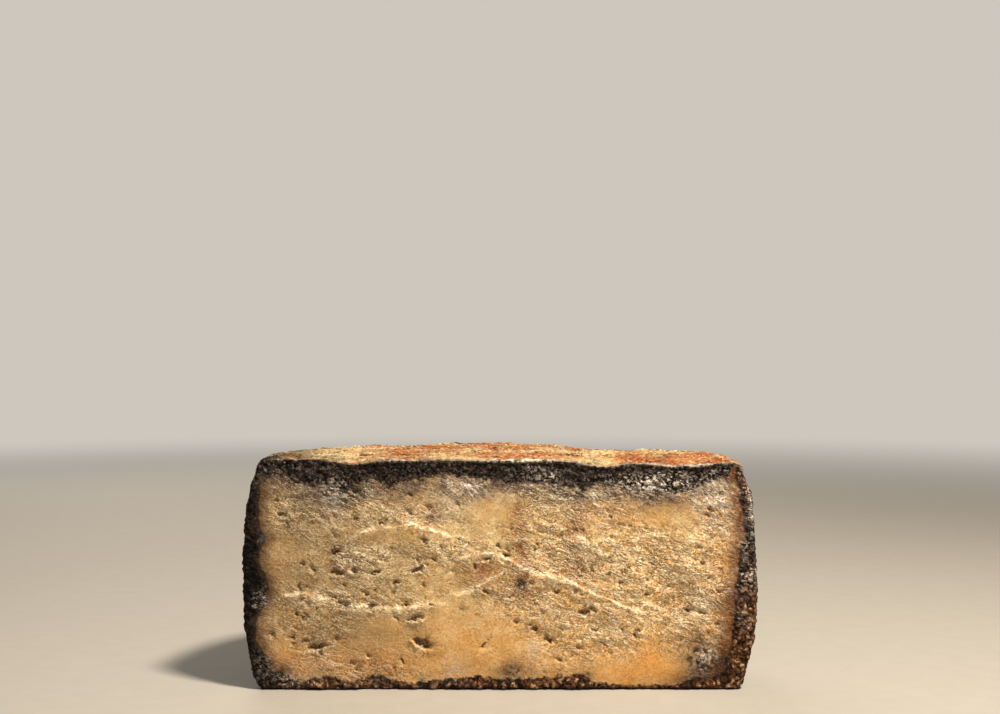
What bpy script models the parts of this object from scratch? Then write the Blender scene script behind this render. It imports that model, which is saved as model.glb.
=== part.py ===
"""Half a wheel of gamoneu cheese on its base, with the cut face towards -Y."""

import itertools
import math

import bmesh
import bpy
import numpy as np

MM = 0.001

# The whole wheel before it is cut
WHEEL_RADIUS = 110.5 * MM
WHEEL_HEIGHT = 99 * MM
BELLY_HEIGHT = 47 * MM
SIDE_DRAW_IN = 7.5 * MM
TOP_RIM_ROUND = 7 * MM
BASE_RIM_ROUND = 4 * MM
CUT_EDGE_ROUND = 1.8 * MM

# How finely the solid is made
RIM_STEPS = 8
SIDE_STEPS = 24
HALF_TURN_STEPS = 120
CARVING_STEP = 1.05 * MM
TARGET_TRIANGLES = 11400

# Where the top sinks: x, y from the cut, reach along x, reach along y, depth
TOP_SAGS = [
    (-63 * MM, 0, 8 * MM, 8 * MM, 2.0 * MM),
    (44 * MM, 0, 11 * MM, 11 * MM, 2.6 * MM),
    (78 * MM, 0, 18 * MM, 12 * MM, 2.8 * MM),
    (52 * MM, 85 * MM, 26 * MM, 30 * MM, 2.2 * MM),
    (-96 * MM, 22 * MM, 22 * MM, 30 * MM, -1.0 * MM),
]

# Torn steps across the cut face, each with how far the paste under it stands proud, and then its line
# as x and z from the middle of the base, in millimetres
LEDGES = {
    "left_shelf": (1.15 * MM, [(-98, 40), (-84, 42), (-71, 38), (-59, 36.5), (-47, 35), (-20, 38.5)]),
    "upper_plate": (0.9 * MM, [(-68, 64), (-58, 68.5), (-38, 71.5), (-25, 67.5), (-16, 62.5)]),
    "centre_ridge": (1.2 * MM, [(-20, 56.5), (-8, 59), (1, 58), (15, 50), (27, 48), (44, 40), (65, 31.5)]),
    "falling_ledge": (0.8 * MM, [(-24, 40), (-13.5, 42), (-8, 44.5), (-1, 49.5), (6, 54)]),
    "right_ledge": (0.8 * MM, [(55, 30), (63, 37.5), (70, 33), (77, 29), (86, 24)]),
    "right_crevice": (0.9 * MM, [(27, 69), (32, 67), (38, 64.5), (50, 66)]),
}
LEDGE_CREST = 0.7 * MM
LEDGE_RUN_OUT = 11 * MM
LEDGE_END_FADE = 9 * MM
LEDGE_RAGGED = 0.9 * MM

# Openings in the paste: x, z, half width, half height, depth in millimetres, and tilt in degrees
EYES = [
    (-33.3, 19.8, 4.4, 2.0, 2.6, -22),
    (-78.5, 18.1, 4.3, 1.6, 1.7, 8),
    (-67.0, 36.0, 3.4, 1.7, 1.9, -10),
    (-55.5, 35.2, 1.5, 1.9, 2.0, 20),
    (-71.0, 58.4, 2.3, 1.4, 1.7, 30),
    (-69.8, 50.2, 2.9, 1.5, 1.9, -15),
    (-62.8, 51.0, 1.7, 1.3, 1.5, -40),
    (-53.0, 50.2, 2.3, 1.3, 1.6, 10),
    (-35.2, 51.5, 3.0, 1.5, 1.8, 25),
    (-44.4, 46.0, 1.6, 1.2, 1.6, 0),
    (-40.2, 36.2, 1.2, 1.1, 1.8, 0),
    (-35.8, 30.9, 3.3, 1.3, 1.8, 20),
    (-98.2, 23.9, 1.3, 1.0, 1.4, 0),
    (-89.2, 22.7, 1.3, 1.0, 1.7, 0),
    (-62.0, 86.2, 2.1, 1.8, 1.5, 0),
    (9.2, 44.6, 2.2, 3.3, 1.3, 0),
    (14.4, 26.6, 3.0, 1.3, 1.7, -40),
    (20.8, 21.2, 2.2, 1.2, 1.5, -35),
    (-7.0, 19.0, 2.2, 0.8, 1.3, 35),
    (36.6, 33.5, 2.6, 1.4, 1.3, 0),
    (58.0, 23.0, 1.4, 1.1, 1.6, 0),
    (13.8, 45.5, 1.5, 1.5, 0.9, 0),
]
SCATTERED_EYES = 40
EYE_SEED = 11
EYE_LIP = 0.22
RAGGED_RIM = (2.6 * MM, 0.5 * MM)

# The mouldy crust hollow low on the right of the cut face
CRUST_CENTRE = (87.5 * MM, 13.2 * MM)
CRUST_REACH = (7.5 * MM, 6.0 * MM)
CRUST_DEPTH = 1.3 * MM

# Rolled rind where the cut face meets the top and the table
TOP_LIP_OUT = 0.8 * MM
TOP_LIP_HEIGHT = 2.4 * MM
BASE_ROLL_OUT = 1.3 * MM
BASE_ROLL_HEIGHT = 3.6 * MM
BASE_ROLL_ENDS = (-86 * MM, 42 * MM)

# Relief of the paste and of the rind: wavelength and height
PASTE_SWELL = (34 * MM, 0.9 * MM)
PASTE_TEAR = (9 * MM, 0.5 * MM)
RIND_LUMPS = (15 * MM, 0.95 * MM)
RIND_WARTS = (6 * MM, 0.5 * MM)

PASTE_COLOUR = (0.60, 0.40, 0.17, 1)
PASTE_ROUGHNESS = 0.6

DIRECTIONS = np.random.default_rng(5).normal(size=(1024, 3))
DIRECTIONS /= np.linalg.norm(DIRECTIONS, axis=1, keepdims=True)
HASH_STEPS = np.array([73856093, 19349663, 83492791])


def clear_scene():
    for obj in list(bpy.data.objects):
        bpy.data.objects.remove(obj)


def ease(low, high, values):
    """0 below low, 1 above high, and smooth between."""
    share = np.clip((values - low) / (high - low), 0, 1)
    return share * share * (3 - 2 * share)


def soft_noise(points, wavelength, seed):
    """Smooth noise, about -1 to 1, from random slopes on a grid of this wavelength."""
    grid = points / wavelength + seed * 7.31
    cell = np.floor(grid).astype(np.int64)
    inside = grid - cell
    fade = inside**3 * (inside * (inside * 6 - 15) + 10)
    total = np.zeros(len(points))
    for corner in itertools.product((0, 1), repeat=3):
        key = ((cell + corner) * HASH_STEPS).sum(1)
        slope = DIRECTIONS[(key ^ (key >> 11)) % len(DIRECTIONS)]
        share = np.where(corner, fade, 1 - fade).prod(1)
        total += (slope * (inside - corner)).sum(1) * share
    return total * 1.5


def layered_noise(points, wavelength, seed, layers=3):
    """Soft noise with finer and weaker layers on it."""
    return sum(soft_noise(points, wavelength / 2**n, seed + n) / 2**n for n in range(layers))


def side_radius(height):
    """The barrel side's radius at a height, before the rims are rounded."""
    reach = WHEEL_HEIGHT - BELLY_HEIGHT if height > BELLY_HEIGHT else BELLY_HEIGHT
    return WHEEL_RADIUS - SIDE_DRAW_IN * (abs(height - BELLY_HEIGHT) / reach) ** 3


def rim_arc(height, round_radius, start, end):
    """Quarter circle of a rim, as radius and height, with its angles in degrees."""
    centre = side_radius(height) - round_radius
    angles = np.radians(np.linspace(start, end, RIM_STEPS + 1))
    return [(centre + round_radius * math.cos(a), height + round_radius * math.sin(a)) for a in angles]


def wheel_profile():
    """Half section of the wheel, from the axis at the top, down the side, to the axis at the base."""
    top_height = WHEEL_HEIGHT - TOP_RIM_ROUND
    side_heights = np.linspace(top_height, BASE_RIM_ROUND, SIDE_STEPS + 1)[1:-1]
    outline = [(0, WHEEL_HEIGHT)]
    outline += rim_arc(top_height, TOP_RIM_ROUND, 90, 0)
    outline += [(side_radius(z), z) for z in side_heights]
    outline += rim_arc(BASE_RIM_ROUND, BASE_RIM_ROUND, 0, -90)
    outline += [(0, 0)]
    return outline


def applied(obj, name):
    """A new mesh object with obj's modifiers applied. obj is removed."""
    graph = bpy.context.evaluated_depsgraph_get()
    mesh = bpy.data.meshes.new_from_object(obj.evaluated_get(graph))
    made = bpy.data.objects.new(name, mesh)
    obj.users_collection[0].objects.link(made)
    bpy.data.objects.remove(obj)
    return made


def half_wheel(collection):
    """The plain half wheel: the profile turned through half a turn, and closed across the cut."""
    outline = [(radius, 0, height) for radius, height in wheel_profile()]
    mesh = bpy.data.meshes.new("profile")
    mesh.from_pydata(outline, [(n, n + 1) for n in range(len(outline) - 1)], [])
    obj = bpy.data.objects.new("profile", mesh)
    collection.objects.link(obj)
    screw = obj.modifiers.new("half_turn", "SCREW")
    screw.angle = math.pi
    screw.steps = screw.render_steps = HALF_TURN_STEPS
    screw.use_merge_vertices = True
    screw.merge_threshold = 0.00001
    obj = applied(obj, "half_wheel")
    faces = bmesh.new()
    faces.from_mesh(obj.data)
    bmesh.ops.holes_fill(faces, edges=faces.edges[:])
    bmesh.ops.recalc_face_normals(faces, faces=faces.faces[:])
    faces.to_mesh(obj.data)
    faces.free()
    return obj


def carving_blank(obj):
    """The half wheel with its cut edges rounded, as an even net of small faces."""
    bevel = obj.modifiers.new("cut_edges", "BEVEL")
    bevel.width = CUT_EDGE_ROUND
    bevel.segments = 3
    bevel.angle_limit = math.radians(60)
    remesh = obj.modifiers.new("even_net", "REMESH")
    remesh.mode = "VOXEL"
    remesh.voxel_size = CARVING_STEP
    return applied(obj, "cheese")


def ledge_height(points, name, seed):
    """How proud the paste stands under one torn step."""
    proud, line = LEDGES[name]
    line_x, line_z = np.array(line).T * MM
    x, z = points[:, 0], points[:, 2]
    ragged = layered_noise(points * (1, 0, 0), 7 * MM, seed) * LEDGE_RAGGED
    below = np.interp(x, line_x, line_z) + ragged - z
    step = ease(0, LEDGE_CREST, below) * np.exp(-np.maximum(below, 0) / LEDGE_RUN_OUT)
    ends = ease(line_x[0], line_x[0] + LEDGE_END_FADE, x) * ease(-line_x[-1], LEDGE_END_FADE - line_x[-1], -x)
    return proud * step * ends * (1 + 0.35 * soft_noise(points, 11 * MM, seed + 5))


def scattered_eyes():
    """Further small eyes at random over the paste, thickest on the left."""
    draw = np.random.default_rng(EYE_SEED)
    for _ in range(SCATTERED_EYES):
        x = draw.uniform(-1, 0.9) * 96
        z = draw.uniform(12, 82)
        width = draw.uniform(1.3, 2.2)
        height, depth = width * draw.uniform(0.6, 0.9, 2)
        yield (x, z, width, height, depth, draw.uniform(-50, 20))


def eye_height(points, eye):
    """One opening: a bowl with a small lip along its lower edge."""
    x, z, half_width, half_height, depth, tilt = eye
    turn = math.radians(tilt)
    across, up = points[:, 0] - x * MM, points[:, 2] - z * MM
    along = (across * math.cos(turn) + up * math.sin(turn)) / (half_width * MM)
    over = (up * math.cos(turn) - across * math.sin(turn)) / (half_height * MM)
    reach = np.hypot(along, over)
    bowl = 1 - ease(0.3, 1.15, reach)
    lip = np.exp(-(((reach - 1.25) / 0.28) ** 2)) * ease(-0.2, -0.9, over)
    return depth * MM * (EYE_LIP * lip - bowl)


def eyes_height(points):
    """All openings. Each is worked out only for the points near it."""
    total = np.zeros(len(points))
    ragged = points.copy()
    for axis in (0, 2):
        ragged[:, axis] += soft_noise(points, RAGGED_RIM[0], 61 + axis) * RAGGED_RIM[1]
    for eye in itertools.chain(EYES, scattered_eyes()):
        near = np.abs(points[:, [0, 2]] - np.array(eye[:2]) * MM).max(1) < 2.2 * eye[2] * MM
        total[near] += eye_height(ragged[near], eye)
    return total


def crust_height(points):
    """The mouldy hollow with its knobbly crust."""
    offset = (points[:, [0, 2]] - CRUST_CENTRE) / CRUST_REACH
    inside = 1 - ease(0.6, 1.2, np.linalg.norm(offset, axis=1))
    knobs = 1 - 2 * np.abs(soft_noise(points, 3.6 * MM, 71))
    return inside * CRUST_DEPTH * (0.9 * knobs - 0.7)


def edge_rolls(points):
    """The rind's lip along the top of the cut, and its rolled crust along the base."""
    x, z = points[:, 0], points[:, 2]
    lip = ease(WHEEL_HEIGHT - TOP_LIP_HEIGHT, WHEEL_HEIGHT - 0.8 * MM, z) * TOP_LIP_OUT
    lip *= 1 + 0.7 * layered_noise(points, 12 * MM, 81)
    start, end = BASE_ROLL_ENDS
    span = ease(start, start + 12 * MM, x) * (1 - ease(end - 12 * MM, end, x))
    crown = BASE_ROLL_HEIGHT * (1 + 0.35 * soft_noise(points, 8 * MM, 83))
    roll = np.exp(-(((z - 0.6 * crown) / (0.5 * crown)) ** 2)) * BASE_ROLL_OUT
    roll *= span * ease(-0.35, 0.35, soft_noise(points * (1, 0, 0.4), 7.5 * MM, 85))
    return lip + roll


def cut_relief(points):
    """How far the cut face stands out at each point, along -Y."""
    flat = points * (1, 0, 1)
    swell = layered_noise(flat, PASTE_SWELL[0], 21, 2) * PASTE_SWELL[1]
    tear = layered_noise(flat * (0.75, 1, 1.25), PASTE_TEAR[0], 25) * PASTE_TEAR[1]
    ledges = sum(ledge_height(flat, name, 31 + 4 * n) for n, name in enumerate(LEDGES))
    return swell + tear + ledges + eyes_height(flat) + crust_height(flat) + edge_rolls(flat)


def rind_relief(points):
    """How far the rind stands out at each point, along its normal."""
    lumps = layered_noise(points, RIND_LUMPS[0], 91, 2) * RIND_LUMPS[1]
    warts = np.maximum(layered_noise(points, RIND_WARTS[0], 95), -0.15) * RIND_WARTS[1]
    return lumps + warts


def top_sag(points):
    """How far the top sinks at each point, fading out down the wheel."""
    total = np.zeros(len(points))
    for x, y, reach_x, reach_y, depth in TOP_SAGS:
        total += depth * np.exp(-(((points[:, 0] - x) / reach_x) ** 2) - ((points[:, 1] - y) / reach_y) ** 2)
    return total * np.clip(points[:, 2] / WHEEL_HEIGHT, 0, 1) ** 5


def carve(obj):
    """Moves each point of the blank by the relief of the side it lies on. The base stays flat."""
    count = len(obj.data.vertices)
    points, normals = np.empty(count * 3, np.float32), np.empty(count * 3, np.float32)
    obj.data.vertices.foreach_get("co", points)
    obj.data.vertices.foreach_get("normal", normals)
    points = points.reshape(-1, 3).astype(np.float64)
    normals = normals.reshape(-1, 3).astype(np.float64)
    cut_share = ease(0.35, 0.9, -normals[:, 1])
    base_share = ease(0.3, 0.9, -normals[:, 2])
    carved = points.copy()
    carved[:, 1] -= cut_relief(points) * cut_share
    carved += normals * (rind_relief(points) * (1 - cut_share) * (1 - base_share))[:, None]
    carved[:, 2] -= top_sag(points)
    carved[base_share > 0.99, 2] = 0
    carved[:, 2] = np.maximum(carved[:, 2], 0)
    obj.data.vertices.foreach_set("co", carved.astype(np.float32).ravel())
    obj.data.update()


def thin_out(obj):
    """Spends the triangles where the shape turns, and few on the flat base."""
    thin = obj.modifiers.new("fewer_faces", "DECIMATE")
    thin.ratio = TARGET_TRIANGLES / (2 * len(obj.data.polygons))
    return applied(obj, "cheese")


def centre_on_base(obj):
    """Puts the middle of the outline at the origin, with the base at height 0."""
    corners = np.array([vertex.co for vertex in obj.data.vertices])
    middle = (corners.min(0) + corners.max(0)) / 2
    for vertex in obj.data.vertices:
        vertex.co.x -= middle[0]
        vertex.co.y -= middle[1]
    obj.data.update()


def paste_material():
    material = bpy.data.materials.new("cheese_paste")
    material.use_nodes = True
    shader = material.node_tree.nodes["Principled BSDF"]
    shader.inputs["Base Color"].default_value = PASTE_COLOUR
    shader.inputs["Roughness"].default_value = PASTE_ROUGHNESS
    shader.inputs["Metallic"].default_value = 0
    return material


def build():
    clear_scene()
    collection = bpy.data.collections.new("gamoneu_half_wheel")
    bpy.context.scene.collection.children.link(collection)
    cheese = carving_blank(half_wheel(collection))
    carve(cheese)
    cheese = thin_out(cheese)
    cheese.name = "cheese"
    centre_on_base(cheese)
    cheese.data.shade_smooth()
    cheese.data.materials.append(paste_material())


build()
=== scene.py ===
import itertools
import math

import bmesh
import bpy
import numpy as np
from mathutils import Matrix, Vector


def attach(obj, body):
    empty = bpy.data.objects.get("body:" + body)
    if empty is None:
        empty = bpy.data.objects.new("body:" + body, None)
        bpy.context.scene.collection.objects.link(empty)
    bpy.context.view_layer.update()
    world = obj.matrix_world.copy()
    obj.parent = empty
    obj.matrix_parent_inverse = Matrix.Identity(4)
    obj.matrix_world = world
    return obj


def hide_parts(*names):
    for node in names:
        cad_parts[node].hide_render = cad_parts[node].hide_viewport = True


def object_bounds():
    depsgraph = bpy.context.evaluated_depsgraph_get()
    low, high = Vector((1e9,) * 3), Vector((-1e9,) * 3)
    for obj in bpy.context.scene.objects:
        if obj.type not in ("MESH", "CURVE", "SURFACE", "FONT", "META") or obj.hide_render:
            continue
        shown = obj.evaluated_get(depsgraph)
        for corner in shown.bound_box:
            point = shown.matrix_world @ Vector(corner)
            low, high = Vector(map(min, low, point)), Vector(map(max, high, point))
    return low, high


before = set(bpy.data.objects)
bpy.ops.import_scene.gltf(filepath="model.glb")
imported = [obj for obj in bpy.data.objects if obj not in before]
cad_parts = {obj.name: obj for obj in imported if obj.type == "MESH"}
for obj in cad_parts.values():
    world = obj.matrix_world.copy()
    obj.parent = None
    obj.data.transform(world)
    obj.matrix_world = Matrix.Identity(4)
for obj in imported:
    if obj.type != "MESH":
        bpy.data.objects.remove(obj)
cad_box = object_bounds()

MM = 0.001


def mm(*values):
    """Millimetres as metres."""
    return tuple(value * MM for value in values)


# The wheel, as its maker's mould and shelf leave it
WHEEL_RADIUS = 110.5 * MM
WHEEL_HEIGHT = 99 * MM
BELLY_HEIGHT = 47 * MM
SIDE_DRAW_IN = 7.5 * MM
TOP_RIM_ROUND = 7 * MM
BASE_RIM_ROUND = 4 * MM
CUT_EDGE_ROUND = 1.8 * MM
CUT_SETBACK = 1.5 * MM

# How finely the surface is made, and how strongly the thinning spares the cut face
RIM_STEPS = 8
CUT_EDGE_STEPS = 3
CUT_EDGE_ANGLE = math.radians(60)
SIDE_STEPS = 24
HALF_TURN_STEPS = 120
CARVING_STEP = 0.5 * MM
TARGET_TRIANGLES = 194000
CUT_KEPT = 0.000002

# Where the top sinks: x, y from the cut, reach along x, reach along y, depth
TOP_SAGS = [
    mm(-63, 0, 8, 8, 2),
    mm(44, 0, 11, 11, 2.6),
    mm(78, 0, 18, 12, 2.8),
    mm(52, 85, 26, 30, 2.2),
    mm(-96, 22, 22, 30, -1),
]

# Torn steps across the cut face, each with how far the paste under it stands proud, and then its line
# as x and z from the middle of the base, in millimetres
LEDGES = {
    "left_shelf": (1.15 * MM, [(-98, 40), (-84, 42), (-71, 38), (-59, 36.5), (-47, 35), (-20, 38.5)]),
    "upper_plate": (0.9 * MM, [(-68, 64), (-58, 68.5), (-38, 71.5), (-25, 67.5), (-16, 62.5)]),
    "centre_ridge": (1.2 * MM, [(-20, 56.5), (-8, 59), (1, 58), (15, 50), (27, 48), (44, 40), (65, 31.5)]),
    "falling_ledge": (0.8 * MM, [(-24, 40), (-13.5, 42), (-8, 44.5), (-1, 49.5), (6, 54)]),
    "right_ledge": (0.8 * MM, [(55, 30), (63, 37.5), (70, 33), (77, 29), (86, 24)]),
    "right_crevice": (0.9 * MM, [(27, 69), (32, 67), (38, 64.5), (50, 66)]),
}
# How steeply a step rises, how far it runs out below and at its ends, how ragged its line is, and how far
# under that line its pale crest lies, a paler broken edge with a highlight painted on it
LEDGE_CREST = 0.4 * MM
LEDGE_RUN_OUT = 11 * MM
LEDGE_END_FADE = 9 * MM
LEDGE_RAGGED = 0.9 * MM
LEDGE_TORN = 0.5 * MM
CREST_BELOW = 0.3 * MM
CREST_REACH = 0.27 * MM

# Openings in the paste: x, z, half width, half height, depth in millimetres, and tilt in degrees
EYES = [
    (-33.3, 19.8, 4.4, 2, 2.6, -22), (-78.5, 18.1, 4.3, 1.6, 1.7, 8), (-67, 36, 3.4, 1.7, 1.9, -10),
    (-55.5, 35.2, 1.5, 1.9, 2, 20), (-71, 58.4, 2.3, 1.4, 1.7, 30), (-69.8, 50.2, 2.9, 1.5, 1.9, -15),
    (-62.8, 51, 1.7, 1.3, 1.5, -40), (-53, 50.2, 2.3, 1.3, 1.6, 10), (-35.2, 51.5, 3, 1.5, 1.8, 25),
    (-44.4, 46, 1.6, 1.2, 1.6, 0), (-40.2, 36.2, 1.2, 1.1, 1.8, 0), (-35.8, 30.9, 3.3, 1.3, 1.8, 20),
    (-98.2, 23.9, 1.3, 1, 1.4, 0), (-89.2, 22.7, 1.3, 1, 1.7, 0), (-62, 86.2, 2.1, 1.8, 1.5, 0),
    (9.2, 44.6, 2.2, 3.3, 1.3, 0), (14.4, 26.6, 3, 1.3, 1.7, -40), (20.8, 21.2, 2.2, 1.2, 1.5, -35),
    (-7, 19, 2.2, 0.8, 1.3, 35), (36.6, 33.5, 2.6, 1.4, 1.3, 0), (58, 23, 1.4, 1.1, 1.6, 0),
    (13.8, 45.5, 1.5, 1.5, 0.9, 0),
]
# Further small eyes: how many, how far out they lie in millimetres, and how much smaller they look
SCATTERED_EYES = 40
SCATTERED_OUT_TO = 96
LOOKS_SMALLER = 0.62
EYE_SEED = 11
EYE_LIP = 0.32
# How an eye's rim wanders: wavelength and reach
RAGGED_RIM = mm(2.6, 0.7)
TORN_RIM = mm(1.3, 0.7)
# Tears smaller than the eyes, before those in smooth paste are left out
TEARS = 700
TEAR_SEED = 23

# The mouldy crust hollow low on the right of the cut face
CRUST_CENTRE = mm(87.5, 13.2)
CRUST_REACH = mm(7.5, 6.0)
CRUST_DEPTH = 1.3 * MM

# Rolled rind where the cut face meets the top, and along its foot
TOP_LIP_OUT = 0.8 * MM
TOP_LIP_HEIGHT = 2.4 * MM
TOP_LIP_FULL = 0.8 * MM
BASE_ROLL_OUT = 1.3 * MM
BASE_ROLL_HEIGHT = 3.6 * MM
BASE_ROLL_ENDS = mm(-86, 42)
BASE_ROLL_FADE = 12 * MM

# Relief of the paste and of the rind: wavelength and height
PASTE_SWELL = mm(34, 0.9)
PASTE_TEAR = mm(9, 0.5)
PLATES = mm(12, 0.3)
SHINGLES = mm(4.6, 0.24)
FINE_SHINGLES = mm(1.7, 0.06)
LARGE_CHIPS = mm(3.0, 0.03)
SMALL_CHIPS = mm(1.3, 0.03)
CRACKS = mm(8, 0.55)
SLITS = mm(3.6, 0.22)
GRAIN = mm(2.2, 0.02)
SCRATCHES = mm(1.2, 0.16)
RIND_LUMPS = mm(15, 0.95)
RIND_WARTS = mm(6, 0.5)
KNOB_SPACING = 3.4 * MM
KNOB_HEIGHT = 0.8 * MM
KNOB_CHIPS = mm(1.4, 0.3)
RIND_KNOBS_LOWER = 0.75
RIM_CHIP = 2.4 * MM
RIM_CRUMBLE = 0.5 * MM
MOULD_SETBACK = 0.7 * MM

# Where the paste ends in rind on the cut face, as heights and x, in millimetres
LEFT_RIND = [
    (7, -99), (14, -101.5), (22, -106.6), (30, -106.6), (37, -102.3), (44, -100.6), (58, -105.7),
    (65, -101.5), (70, -104.9), (91, -105.7),
]
RIGHT_RIND = [
    (6, 96), (20, 99.5), (30, 101.5), (41, 101.5), (52, 103), (60, 103.5), (69, 105.5), (83, 104),
    (92, 101.5),
]
BASE_CRUST = [
    (-100, 6), (-92, 7), (-86, 3.5), (-74, 6), (-64, 3.5), (-53, 6), (-41, 3.2), (-28, 3.5), (-10, 6),
    (0, 4.5), (20, 4.8), (36, 6.5), (44, 2.2), (74, 1.6), (84, 5), (100, 6),
]
# The lower edge of the dark mould under the top, as x and height
MOULD_EDGE = [
    (-106, 84), (-103, 89.7), (-94, 91.8), (-83, 87.1), (-74, 87.1), (-68, 84.5), (-61.6, 88.8),
    (-54.7, 90.9), (-48, 87.1), (-34, 90.5), (-25.5, 93.1), (-12, 90.5), (5, 88.8), (19, 87.9), (30, 87.1),
    (35, 86.8), (42, 89.6), (48, 89.2), (61, 85.4), (77, 85.8), (86, 89.2), (98, 92.2), (101, 97),
]

# Patches on the cut face: x, z, reach along x and along z in millimetres, and strength. Ripe golden paste,
# brown stains, pale powder of mould, and dark mould with some painted shadow
GOLD = [
    (62, 9, 34, 14, 1.0), (-14, 17, 24, 14, 0.7), (-60, 8, 40, 10, 0.75), (70, 42, 34, 26, 0.35),
    (24, 36, 26, 20, 0.35), (-90, 14, 10, 14, 0.5), (45, 80, 30, 9, 0.35), (-98, 50, 7, 40, 0.1),
    (98, 45, 8, 34, 0.8),
]
STAIN = [
    (8.4, 66, 3.0, 22, 0.85), (33.5, 74, 3.0, 14, 0.85), (33.2, 51.5, 4.5, 6, 0.8), (33, 68.6, 5, 4, 0.6),
    (-10, 53, 7, 5, 0.8), (36.7, 33.5, 4, 2.5, 0.7), (9.1, 45, 5, 7, 0.9), (-28, 74.5, 3.6, 2.6, 1.0),
    (86, 22, 7, 5, 0.5), (97, 26, 4, 20, 0.7), (-55, 12, 26, 5, 0.35), (48, 75, 16, 5, 0.3),
    (-5, 48, 12, 9, 0.35),
]
BLOOM = [
    (-25, 81, 8, 7, 0.95), (-12, 86, 6, 5, 0.8), (-72, 84, 5, 5, 0.8), (94, 80, 7, 12, 0.85),
    (95, 69.5, 4, 4, 0.9), (9.2, 44.6, 3, 4, 0.75), (14, 17, 3.5, 3.5, 0.9), (90.4, 53.6, 3, 3, 0.6),
    (-19.5, 9.9, 4.5, 6, 0.5), (-81, 11.6, 4, 3, 0.5), (30, 83, 4, 4, 0.5), (0, 84, 6, 4, 0.35),
    (-50, 84, 8, 3, 0.35), (-102, 38, 3, 5, 0.9), (-101, 65, 2.5, 3, 0.9), (66, 90, 25, 5, 0.95),
    (18, 93, 10, 3.5, 0.6), (-94, 95, 9, 4, 0.35), (-72, 91, 8, 4, 0.25), (-36, 93, 12, 3, 0.15),
    (106, 80, 5, 13, 1.0), (106, 62, 3, 5, 0.6), (87.5, 13, 6, 5, 0.85), (107, 50, 5, 7, 1.0),
    (106, 30, 4, 5, 0.4), (-100, 12, 5, 6, 0.3), (-60, 4, 30, 3, 0.25), (-91, 5, 4, 4, 0.8),
    (-20, 8, 4, 5, 0.6), (100, 41, 3, 3, 0.5),
]
GLOOM = [
    # The row at 86, 4 is painted shadow along the foot under the crust hollow
    (4.5, 8, 6, 4.5, 0.8), (87.5, 13, 9.5, 8, 1.0), (87.5, 12, 7, 6, 0.9), (86, 4, 13, 4, 0.95),
    (-27.7, 74.2, 2.5, 2, 0.6), (36, 5, 4, 3, 0.8), (-9, 82, 3, 3, 0.3), (-26, 82, 8, 6, 0.35),
    (9.2, 44.6, 2.2, 3.2, 0.7), (34.3, 83, 1.6, 2, 0.35), (-78, 82, 10, 4, 0.45), (-62, 84, 8, 3, 0.5),
]
# Where a pale highlight is painted along the rind's lip at the top of the cut, and where the paste is smooth,
# scraped and torn
LIP_HIGHLIGHT = [
    (8, 99, 18, 60, 0.98), (82, 99, 20, 60, 0.6), (-42, 99, 9, 60, 0.5), (44, 99, 8, 60, 0.3),
]
WAX = [
    (-12, 18, 20, 13, 0.95), (-3, 81, 8, 8, 0.7), (62, 10, 20, 8, 0.5), (-50, 24, 12, 5, 0.6),
    (72, 76, 14, 6, 0.5), (47, 45, 6, 3, 0.6), (-48, 66, 14, 4, 0.5),
]
SCRAPED = [
    (94, 79, 8, 11, 1.0), (40, 82, 7, 6, 0.7), (-14, 84, 9, 5, 0.7), (88, 40, 7, 10, 0.35),
    (-72, 78, 7, 9, 0.35),
]
TORN = [
    (4.5, 8, 7, 5, 0.9), (-60, 56, 15, 9, 0.75), (-34, 52, 6, 5, 0.7), (-66, 38, 26, 5, 0.75),
    (-36, 31, 6, 4, 0.7), (-33, 20, 7, 5, 0.6), (-79, 18, 7, 4, 0.6), (-66, 84, 11, 6, 0.8),
    (-90, 76, 10, 9, 0.45), (-44, 73, 26, 5, 0.6), (-20, 60, 12, 5, 0.8), (-14, 86, 12, 4, 0.7),
    (55, 50, 44, 24, 0.8), (22, 64, 14, 16, 0.75), (86, 36, 16, 24, 0.7), (40, 22, 30, 9, 0.6),
    (8, 42, 14, 9, 0.75), (92, 78, 8, 10, 0.7), (30, 84, 40, 4, 0.5), (-80, 28, 20, 6, 0.35),
    (-55, 8, 30, 5, 0.4),
]

# Where the colours turn, along x: the paste from greyer, darker ivory to straw, partly painted shade, its
# margin beside the rind, the painted shade of margin and rind at the left, and the top's darker end
LEFT_GREY_AND_SHADE = mm(-88, -15)
MARGIN_OVER = mm(82, 94)
MARGIN_SHADE_AT_LEFT = mm(-88, -97)
RIND_SHADE_AT_LEFT = mm(-85, -95)
TOP_DIMS = mm(-66, -104)
# The rind's warm crust: below which heights at the base, and below and beyond which places at the right
WARM_BASE = mm(12, 5)
WARM_RIGHT_UNDER = mm(56, 34)
WARM_RIGHT_OVER = mm(88, 96)
# Along y, where the side's rind turns greyer behind the cut
GREYS_OVER = mm(-46, -24)
# How far from the rind the margin reaches and from the mould its smoky stain, partly painted shadow of the
# top lip, in millimetres
MARGIN_DEPTH = (-9, -1)
SMOKE_AND_SHADOW_DEPTH = (-13, -1)
PASTE_ROUGHNESS = 0.4
RIND_ROUGHNESS = 0.9

# How the finest grain of the paste leans down to the right, and how far it is drawn out that way
GRAIN_TURN = (0.0, math.radians(20), 0.0)
GRAIN_STRETCH = (1.9, 1.0, 1.0)
# The same for the knife's scrapes
SCRAPE_TURN = (0.0, math.radians(52), 0.0)
SCRAPE_STRETCH = (8.0, 1.0, 1.0)

# The thin flakes of the finest relief: their spacing, how far each rises, how far their lines wander, below
# what level of a noise they are left out, what share of the spacing the lip takes, and how strongly it is
# seen
FLAKES = {
    "large": (6.4 * MM, 0.9 * MM, 9.0, 0.45, 0.09, 1.0),
    "middle": (3.0 * MM, 0.5 * MM, 7.0, 0.49, 0.17, 0.95),
    "small": (1.3 * MM, 0.3 * MM, 6.0, 0.5, 0.34, 0.75),
}

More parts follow.
